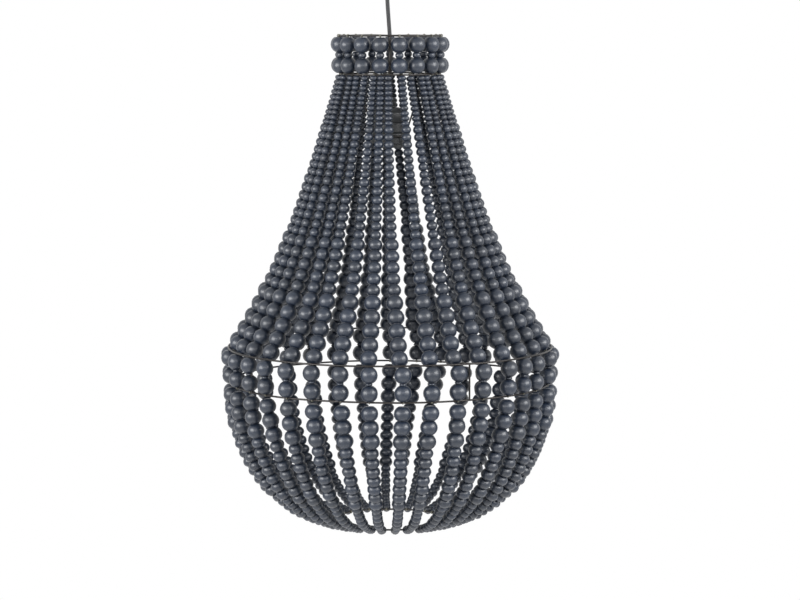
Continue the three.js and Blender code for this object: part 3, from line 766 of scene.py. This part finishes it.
def string_path(path, chosen, runs, seed, start, end):
    """Every run of a path, drawn out to fill it but for a gap at its start and one at its end."""
    wanted = sum(count * length for count, width, length in runs) * MM
    fit = (lengths[path] - start - end) / wanted
    meshes = []
    for number, (count, width, length) in enumerate(runs):
        pitch = length * MM * fit
        neck = SMALL_NECK if width < SMALL_UNDER else BALL_NECK
        run = (count, width, pitch)
        meshes.append(string_run(path, chosen, start, run, seed + 10 * number, neck))
        start += count * pitch
    return meshes


def string_pair(path, chosen, spacer_width, seed):
    """Two balls that touch the rings, and a spacer in the room that they leave."""
    ball_width, ball_length = BALL[0], BALL[1] * MM
    room = lengths[path] - 2 * BEAD_TO_RING - 2 * ball_length
    top, middle = BEAD_TO_RING, BEAD_TO_RING + ball_length
    return [
        string_run(path, chosen, top, (1, ball_width, ball_length), seed),
        string_run(path, chosen, middle, (1, spacer_width, room), seed + 10, SMALL_NECK),
        string_run(path, chosen, middle + room, (1, ball_width, ball_length), seed + 20),
    ]


# %% The two halves of the shade


def bead_half(name, chosen, seed):
    """The beads of some strands, as one piece. Each path has its own hundred of seeds."""
    columns = [i for i in chosen if i % 2 == 0]
    beads = joined(name, [
        *string_path("upper", chosen, UPPER_RUNS, seed, BEAD_TO_RING, 0),
        *string_pair("band", chosen, BAND_SPACER, seed + 100),
        *string_path("lower", chosen, LOWER_RUNS, seed + 200, BOWL_GAP, BEAD_TO_RING),
        *string_pair("crown", columns, CROWN_SPACER, seed + 300),
    ])
    show(name, beads, "shade", None, [f"bead_strand_{i + 1:02d}" for i in chosen])
    print(name, len(chosen), "strands,", len(beads.polygons), "faces")


FRONT_STRANDS = [i for i in range(STRANDS) if math.cos(FIRST_STRAND + i * STRAND_PITCH) > 0]
BACK_STRANDS = [i for i in range(STRANDS) if i not in FRONT_STRANDS]
bead_half("bead_strands_front", FRONT_STRANDS, 1000)
bead_half("bead_strands_back", BACK_STRANDS, 2000)

# %% [markdown]
# ## Thread
#
# The thread runs through every bead and shows only where it passes a wire. A second tree lays it:
# the strands' points are copied along the guide line, joined into curves strand by strand, and a
# small circle follows them. Round each wire it takes two turns, as a hand that strings a shade
# does it to keep the strand from sliding.

# %% The tree that lays the thread
THREAD_SIDES = 5


def round_thread(tree, lines, radius):
    """A closed round thread along curves."""
    feeds = {"Resolution": THREAD_SIDES, "Radius": radius}
    section = add_node(tree, "GeometryNodeCurvePrimitiveCircle", feeds)
    feeds = {"Curve": lines, "Profile Curve": section, "Fill Caps": True}
    return add_node(tree, "GeometryNodeCurveToMesh", feeds)


def thread_tree():
    tree, size, identifiers = new_tree("lay_the_thread", {
        "Guide": "Object", "Length": "Float", "Steps": "Int", "Radius": "Float", "Finish": "Material",
    })
    copies = add_node(tree, "GeometryNodeDuplicateElements", {
        "Geometry": size["Geometry"], "Amount": size["Steps"],
    }, domain="POINT").outputs
    step = copies["Duplicate Index"]
    last = add_node(tree, "ShaderNodeMath", {0: size["Steps"], 1: 1.0}, operation="SUBTRACT")
    share = add_node(tree, "ShaderNodeMath", {0: step, 1: last}, operation="DIVIDE")
    along = add_node(tree, "ShaderNodeMath", {0: share, 1: size["Length"]}, operation="MULTIPLY")
    points, _ = place_on_strands(tree, copies["Geometry"], size["Guide"], along)
    feeds = {"Name": "strand"}
    strand = add_node(tree, "GeometryNodeInputNamedAttribute", feeds, data_type="INT")
    feeds = {"Points": points, "Curve Group ID": strand, "Weight": step}
    lines = add_node(tree, "GeometryNodePointsToCurves", feeds)
    end_tree(tree, round_thread(tree, lines, size["Radius"]), size["Finish"])
    return tree, identifiers


lay_tree = thread_tree()


def lay_thread(path, chosen, steps):
    return grow(path, chosen, lay_tree, {
        "Length": lengths[path], "Steps": steps, "Radius": THREAD_RADIUS, "Finish": thread_finish,
    })


# %% The tree that winds thread round a wire
TURNS = 2.0
TURNS_WIDTH = 1.8 * MM
TURNS_TILT = 0.2
WOUND_RADIUS = 0.45 * MM
POINTS_PER_TURN = 9


def winding_tree():
    tree, size, identifiers = new_tree("wind_round_a_wire", {
        "Guide": "Object", "At": "Float", "Turns": "Float", "Width": "Float", "Radius": "Float",
        "Thread Radius": "Float", "Tilt": "Float", "Seed": "Int", "Finish": "Material",
    })
    points, _ = place_on_strands(tree, size["Geometry"], size["Guide"], size["At"])
    # The wire runs round the lamp: square to the way out to it and to the way up
    feeds = {0: add_node(tree, "GeometryNodeInputPosition"), 1: (0, 0, 1)}
    along_wire = add_node(tree, "ShaderNodeVectorMath", feeds, operation="CROSS_PRODUCT")
    faced = add_node(tree, "FunctionNodeAlignRotationToVector", {"Vector": along_wire}, axis="Z")
    coil = add_node(tree, "GeometryNodeCurveSpiral", {
        "Resolution": POINTS_PER_TURN, "Rotations": size["Turns"], "Start Radius": size["Radius"],
        "End Radius": size["Radius"], "Height": size["Width"],
    })
    half_down = add_node(tree, "ShaderNodeMath", {0: size["Width"], 1: -0.5}, operation="MULTIPLY")
    feeds = {"Geometry": coil, "Translation": add_node(tree, "ShaderNodeCombineXYZ", {"Z": half_down})}
    centred = add_node(tree, "GeometryNodeTransform", feeds)
    placed = add_node(tree, "GeometryNodeInstanceOnPoints", {
        "Points": points, "Instance": round_thread(tree, centred, size["Thread Radius"]),
        "Rotation": tipped(tree, faced, size["Tilt"], size["Seed"]),
    })
    end_tree(tree, placed, size["Finish"])
    return tree, identifiers


wind_tree = winding_tree()


def wind_thread(path, chosen, at, seed):
    return grow(path, chosen, wind_tree, {
        "At": at, "Turns": TURNS, "Width": TURNS_WIDTH, "Radius": WIRE_RADIUS + WOUND_RADIUS,
        "Thread Radius": WOUND_RADIUS, "Tilt": TURNS_TILT, "Seed": seed, "Finish": thread_finish,
    })


# %% Thread
every_strand = list(range(STRANDS))
crown_strands = every_strand[::2]
threads = joined("threads", [
    lay_thread("upper", every_strand, 40),
    lay_thread("band", every_strand, 2),
    lay_thread("lower", every_strand, 24),
    lay_thread("crown", crown_strands, 2),
    wind_thread("upper", every_strand, 0.0, 11),
    wind_thread("upper", every_strand, lengths["upper"], 12),
    wind_thread("lower", every_strand, 0.0, 13),
    wind_thread("lower", every_strand, lengths["lower"], 14),
    wind_thread("crown", crown_strands, 0.0, 15),
])
show("threads", threads, "shade")
print("threads:", len(threads.polygons), "faces")
for guide in guides.values():
    bpy.data.objects.remove(guide)

# %% [markdown]
# ## Rings, posts and spider
#
# The frame is bent by hand from drawn wire, and no ring of it is a perfect circle: it wavers by
# about a third of a millimetre. The posts that hold the belly rings apart are welded between
# them. Inside the crown three wires come down from the top ring, turn in and meet a flat hub,
# which the lampholder clamps. All of it is wire swept along lines of points.

# %% Rings and posts
RING_WAVER = 0.35 * MM
RING_STEPS = 136
POST_RADIUS = 0.95 * WIRE_RADIUS


def ring_line(radius, height, seed):
    """A closed line round the lamp that wavers in and out, and up and down, in slow waves."""
    dice = random.Random(seed)
    phases = [dice.uniform(0, 2 * math.pi) for _ in range(4)]
    points = []
    for i in range(RING_STEPS):
        angle = 2 * math.pi * i / RING_STEPS
        out = math.sin(2 * angle + phases[0]) + math.sin(5 * angle + phases[1])
        lift = math.sin(3 * angle + phases[2]) + math.sin(7 * angle + phases[3])
        far = radius + RING_WAVER * out / 2
        high = height + RING_WAVER * lift / 2
        points.append(Vector((far * math.sin(angle), -far * math.cos(angle), high)))
    return points


RINGS = {
    "crown_top_ring": (CROWN_TOP_RADIUS, CROWN_TOP), "crown_lower_ring": (CROWN_RADIUS, CROWN_FOOT),
    "belly_upper_ring": (BELLY_RADIUS, BELLY_TOP), "belly_lower_ring": (BELLY_FOOT_RADIUS, BELLY_FOOT),
    "bottom_ring": (OPENING_RADIUS, OPENING),
}
for seed, (node, (radius, height)) in enumerate(RINGS.items()):
    wire = swept(node, [(ring_line(radius, height, seed), True)], WIRE_RADIUS)
    show("wire_" + node, wire, "shade", wire_finish, [node])

post_nodes = [f"belly_post_{i}" for i in range(1, 5)]
post_lines = []
for node in post_nodes:
    low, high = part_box(node)
    x, y = (low[0] + high[0]) / 2, (low[1] + high[1]) / 2
    post_lines.append(([Vector((x, y, BELLY_FOOT)), Vector((x, y, BELLY_TOP))], False))
posts = swept("belly_posts", post_lines, POST_RADIUS)
show("wire_belly_posts", posts, "shade", wire_finish, post_nodes)
print("rings:", len(RINGS), "posts:", len(post_nodes))

# %% Spider
HUB_THICKNESS = 2
ARM_STRANDS = (1, 13, 23)
ARM_GAP = 2 * WIRE_RADIUS + 0.3 * MM
ELBOW_INSIDE = 11.3 * MM
ELBOW_BELOW = 10.2 * MM
ARM_END = 23.5 * MM
BEND = 4 * MM
hub_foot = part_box("shade_spider")[0][2] / MM
hub_top = hub_foot + HUB_THICKNESS


def rounded(corners, radius, steps=6):
    """A line through corners, with an arc in place of each inner one."""
    line = [corners[0]]
    for before, corner, after in zip(corners, corners[1:], corners[2:]):
        start = corner + (before - corner).normalized() * radius
        end = corner + (after - corner).normalized() * radius
        for i in range(steps + 1):
            t = i / steps
            line.append((1 - t) ** 2 * start + 2 * t * (1 - t) * corner + t ** 2 * end)
    return line + [corners[-1]]


arm_lines = []
for strand in ARM_STRANDS:
    swing = Matrix.Rotation(FIRST_STRAND + CROWN_TWIST + strand * STRAND_PITCH, 3, "Z")
    corners = [
        Vector((0, ARM_GAP - CROWN_TOP_RADIUS, CROWN_TOP)),
        Vector((0, ARM_GAP - CROWN_RADIUS, CROWN_FOOT)),
        Vector((0, ELBOW_INSIDE - CROWN_RADIUS, CROWN_FOOT - ELBOW_BELOW)),
        Vector((0, -ARM_END, (hub_foot + HUB_THICKNESS / 2) * MM)),
    ]
    arm_lines.append(([swing @ point for point in rounded(corners, BEND)], False))
arms = swept("spider_arms", arm_lines, WIRE_RADIUS)
hub = turned("spider_hub", [
    (19.8, hub_foot + 0.3), (20.1, hub_foot), (24.2, hub_foot), (24.6, hub_foot + 0.4),
    (24.6, hub_top - 0.4), (24.2, hub_top), (20.1, hub_top), (19.8, hub_top - 0.3),
])
show("spider", joined("spider", [hub, arms]), "shade", wire_finish, ["shade_spider"])
print("spider's hub at", round(hub_foot, 1), "to", round(hub_top, 1), "mm")

# %% [markdown]
# ## Lampholder
#
# A screw lampholder hangs in the crown, half hidden by the strands: a cord grip, a domed cap, a
# body with a shoulder, the ring that clamps the spider's hub, and inside it the rolled brass
# shell that takes the bulb. The shell's thread is a true screw: its radius rises and falls with
# both the height and the way round, so a real bulb would turn into it.

# %% Grip, cap and body of the lampholder


def arc(from_radius, to_radius, from_height, to_height, steps=8):
    """A quarter round of a profile, level at its start and upright at its end."""
    points = []
    for i in range(steps + 1):
        turn = math.pi / 2 * i / steps
        points.append((
            from_radius + (to_radius - from_radius) * math.sin(turn),
            to_height + (from_height - to_height) * math.cos(turn),
        ))
    return points


def ends(node):
    """The heights of a node's top and foot in millimetres."""
    low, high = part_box(node)
    return high[2] / MM, low[2] / MM


def holder_grip_mesh():
    top, foot = ends("holder_cord_grip")
    shoulder = foot + 6
    profile = [(0, top - 5.3), (2.7, top - 5.9), (4.1, top), (5, top), *arc(5, 7, top, top - 1.5, 4)]
    for i in range(4):
        groove = top - 3.4 - i * 2
        profile += [(7, groove), (6.6, groove - 0.4), (6.6, groove - 0.7), (7, groove - 1.1)]
    profile += [(7, shoulder), (5, shoulder), (5, foot), (0, foot)]
    return turned("holder_cord_grip", profile)


def holder_cap_mesh():
    top, foot = ends("holder_cap")
    middle = (top + foot) / 2
    return turned("holder_cap", [
        (5.3, top), *arc(9, 19, top, middle, 12), (19, foot + 0.6), (18.6, foot), (16.8, foot),
        *reversed(arc(9, 16.8, top - 2.2, middle, 12)), (5.3, top - 2.2),
    ])


def holder_body_mesh():
    top, foot = ends("holder_body")
    shoulder, floor = top - 15, top - 7
    return turned("holder_body", [
        (0, top), (18.6, top), (19, top - 0.4), (19, shoulder + 4),
        *arc(20, 22, shoulder + 3.2, shoulder + 1, 4),
        (22, shoulder), (19, shoulder), (19, foot + 0.5), (18.5, foot), (16.8, foot), (16.8, floor),
        (4.3, floor), (4.3, floor + 2), (0, floor + 2),
    ])


# %% The knurled ring and the screw shell


def clamp_ring_mesh(notches=12):
    """The knurled ring: its outside dips at every notch."""
    top, foot = ends("shade_ring")
    outer, inner = 25.6, 19.8
    profile = [
        (inner, foot), (outer - 0.6, foot), (outer, foot + 0.6),
        (outer, top - 0.6), (outer - 0.6, top), (inner, top),
    ]

    def knurl(k, angle):
        return -max(0.0, math.cos(notches * angle)) ** 6 if profile[k][0] > inner else 0

    return turned("shade_ring", profile, 144, knurl)


def threaded_shell_mesh(pitch=3.6, depth=0.45, rows=60):
    """A thin shell whose wall is a rolled screw thread, turned in at its top."""
    top, foot = ends("socket_shell")
    wall, outer = 0.5, 13.8
    thread_top = top - 1.2
    heights = [foot + (thread_top - foot) * k / rows for k in range(rows + 1)]
    lip = [(outer - 0.6, top), (4.3, top), (4.3, top - wall), (outer - 1.2, top - wall)]
    outside = [(outer, z) for z in heights]
    inside = [(outer - wall, z) for z in reversed(heights)]
    profile = outside + lip + inside

    def roll(k, angle):
        z = profile[k][1]
        if z > thread_top:
            return 0
        fading = max(0.0, min(1.0, (z - foot) / pitch, (thread_top - z) / pitch))
        return depth * fading * math.cos(2 * math.pi * z / pitch - angle)

    return turned("socket_shell", profile, 48, roll)


def contact_mesh():
    top, foot = ends("centre_contact")
    return turned("centre_contact", [
        (0, top), (4, top), (4, foot + 1.2), *arc(2, 4, foot, foot + 1.2, 5)[::-1], (0, foot),
    ], 48)


# %% The lampholder's pieces
for name, mesh, slot, finish in [
    ("holder_cord_grip", holder_grip_mesh(), "black_plastic", moulded_plastic),
    ("holder_cap", holder_cap_mesh(), "black_plastic", moulded_plastic),
    ("holder_body", holder_body_mesh(), "black_plastic", moulded_plastic),
    ("shade_ring", clamp_ring_mesh(), "black_plastic", moulded_plastic),
    ("socket_shell", threaded_shell_mesh(), "brass", rolled_brass),
    ("centre_contact", contact_mesh(), "brass", rolled_brass),
]:
    show("fine_" + name, mesh, "lampholder", finish, [name])
    print(name, len(mesh.polygons), "faces")

# %% [markdown]
# ## Ceiling fitting
#
# A shallow spun cup hides the wiring. It hangs on two screws through its side into a steel strap
# that is screwed to the ceiling, and the cord leaves it through a moulded grip with a locknut
# inside. The strap, the nut and the terminal block have the right shape in the measured model
# already, so they only get their finish.

# %% The cup and its grip


def cup_mesh():
    top, foot = ends("ceiling_cup")
    return turned("ceiling_cup", [
        (47.8, top), (48, top - 0.3), *reversed(arc(41, 48, foot, foot + 7, 12)), (5.3, foot),
        (5.3, foot + 1.5), *arc(41, 46.5, foot + 1.5, foot + 7, 12), (46.5, top - 0.3), (46.7, top),
    ], 128)


def ceiling_grip_mesh():
    top, foot = ends("cord_grip")
    seat = foot + 14
    profile = [(0, foot + 5.3), (2.7, foot + 5.9), (4.1, foot), (5, foot), *arc(5, 7, foot, foot + 1.5, 4)]
    profile += [(7, seat - 0.4), (6.6, seat), (5, seat), (5, top), (0, top)]
    return turned("cord_grip", profile)


show("fine_ceiling_cup", cup_mesh(), "ceiling_rose", powder_coat, ["ceiling_cup"])
show("fine_cord_grip", ceiling_grip_mesh(), "ceiling_rose", moulded_plastic, ["cord_grip"])
print("cup's top and foot in mm:", [round(z, 1) for z in ends("ceiling_cup")])

# %% Side screws, the cord's end and the measured parts


def side_screw_mesh():
    """A pan-head screw along X."""
    seat, tip = 48.3, 42.2
    mesh = turned("side_screw", [
        (0, tip), (1.7, tip), (1.9, tip + 0.2), (1.9, seat), (3.5, seat), (3.5, seat + 1),
        *reversed(arc(1.4, 3.5, seat + 2.1, seat + 1, 5)), (1.2, seat + 2.1), (0, seat + 2.1),
    ], 40)
    mesh.transform(Matrix.Rotation(math.pi / 2, 4, "Y"))
    return mesh


screw_height = height_of("cup_screw_1")
for name, turn in (("cup_screw_1", 0), ("cup_screw_2", math.pi)):
    mesh = side_screw_mesh()
    mesh.transform(Matrix.Translation((0, 0, screw_height)) @ Matrix.Rotation(turn, 4, "Z"))
    show("fine_" + name, mesh, "ceiling_rose", zinc_plate, [name])

tail_low, tail_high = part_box("cord_tail")
tail_line = ([Vector((0, 0, tail_low[2])), Vector((0, 0, tail_high[2]))], False)
tail = swept("cord_tail", [tail_line], CORD_DIAMETER / 2, 24)
show("fine_cord_tail", tail, "ceiling_rose", pvc_sheath, ["cord_tail"])

for node, finish in {
    "ceiling_bracket": zinc_plate, "grip_locknut": zinc_plate,
    "terminal_block": glazed_block, "grip_clamp_screw": moulded_plastic,
}.items():
    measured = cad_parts[node]
    measured.data.materials.clear()
    measured.data.materials.append(finish)
    print(node, "keeps its shape, in", finish.name)

# %% [markdown]
# ## Stage and light
#
# The lamp is shown as in a shop's picture: on white, lit by a soft box to each side and a weaker
# one in front, above it. Those at the sides leave the two soft glints in the upper half of every
# bead. The world is white to the camera, and in reflections, but dimmer as a light, most of all
# from the front, so that the black paint stays black. A pale floor lies well below and takes the
# lamp's soft shadow.

# %% Soft boxes
LAMP_MIDDLE = Vector((0, 0, -0.45))


def softbox(name, place, size, watts):
    light = bpy.data.lights.new(name, "AREA")
    light.shape = "RECTANGLE"
    light.size, light.size_y = size
    light.energy = watts
    box = bpy.data.objects.new(name, light)
    box.location = place
    aim = LAMP_MIDDLE - Vector(place)
    box.rotation_euler = aim.to_track_quat("-Z", "Y").to_euler()
    scene.collection.objects.link(box)
    print(name, "of", watts, "W at", place)


softbox("softbox_left", (-1.8, -1.25, 0.0), (1.9, 1.0), 74)
softbox("softbox_right", (1.8, -1.05, 0.35), (1.9, 1.0), 74)
softbox("softbox_front", (0.0, -3.6, 0.7), (3.2, 0.7), 38)

# %% World
WORLD_FROM_FRONT = 0.24
WORLD_FROM_BEHIND = 1.0

world = bpy.data.worlds.new("white_studio")
scene.world = world
world.use_nodes = True
sky = world.node_tree
background = next(n for n in sky.nodes if n.type == "BACKGROUND")
feeds = {"Vector": add_node(sky, "ShaderNodeTexCoord").outputs["Generated"]}
way = add_node(sky, "ShaderNodeSeparateXYZ", feeds).outputs
strength = add_node(sky, "ShaderNodeMapRange", {
    "Value": way["Y"], "From Min": -0.1, "From Max": 0.6,
    "To Min": WORLD_FROM_FRONT, "To Max": WORLD_FROM_BEHIND,
})
rays = add_node(sky, "ShaderNodeLightPath").outputs
for ray in ("Is Camera Ray", "Is Glossy Ray", "Is Transmission Ray"):
    strength = add_node(sky, "ShaderNodeMath", {0: strength, 1: rays[ray]}, operation="MAXIMUM")
feed(sky, background, {"Color": (1, 1, 1, 1), "Strength": strength})
print("world as a light:", WORLD_FROM_FRONT, "from the front,", WORLD_FROM_BEHIND, "from behind")

# %% Floor
FLOOR_HEIGHT = -1.9
FLOOR_RADIUS = 4
FLOOR_SIDES = 96

# Matt white board: near white by its own faint glow, and still able to take a shadow
floor_finish, floor_tree, floor_shader, _ = new_finish("matt_white_board")
feed(floor_tree, floor_shader, {
    "Base Color": linear("#f4f4f4"), "Roughness": 0.9,
    "Emission Color": (1, 1, 1, 1), "Emission Strength": 0.35,
})
floor_edge = []
for i in range(FLOOR_SIDES):
    angle = 2 * math.pi * i / FLOOR_SIDES
    floor_edge.append((FLOOR_RADIUS * math.cos(angle), FLOOR_RADIUS * math.sin(angle), FLOOR_HEIGHT))
floor_mesh = bpy.data.meshes.new("floor")
floor_mesh.from_pydata(floor_edge, [], [tuple(range(FLOOR_SIDES))])
floor_mesh.materials.append(floor_finish)
floor = bpy.data.objects.new("floor", floor_mesh)
scene.collection.objects.link(floor)
print("floor at", FLOOR_HEIGHT, "m")
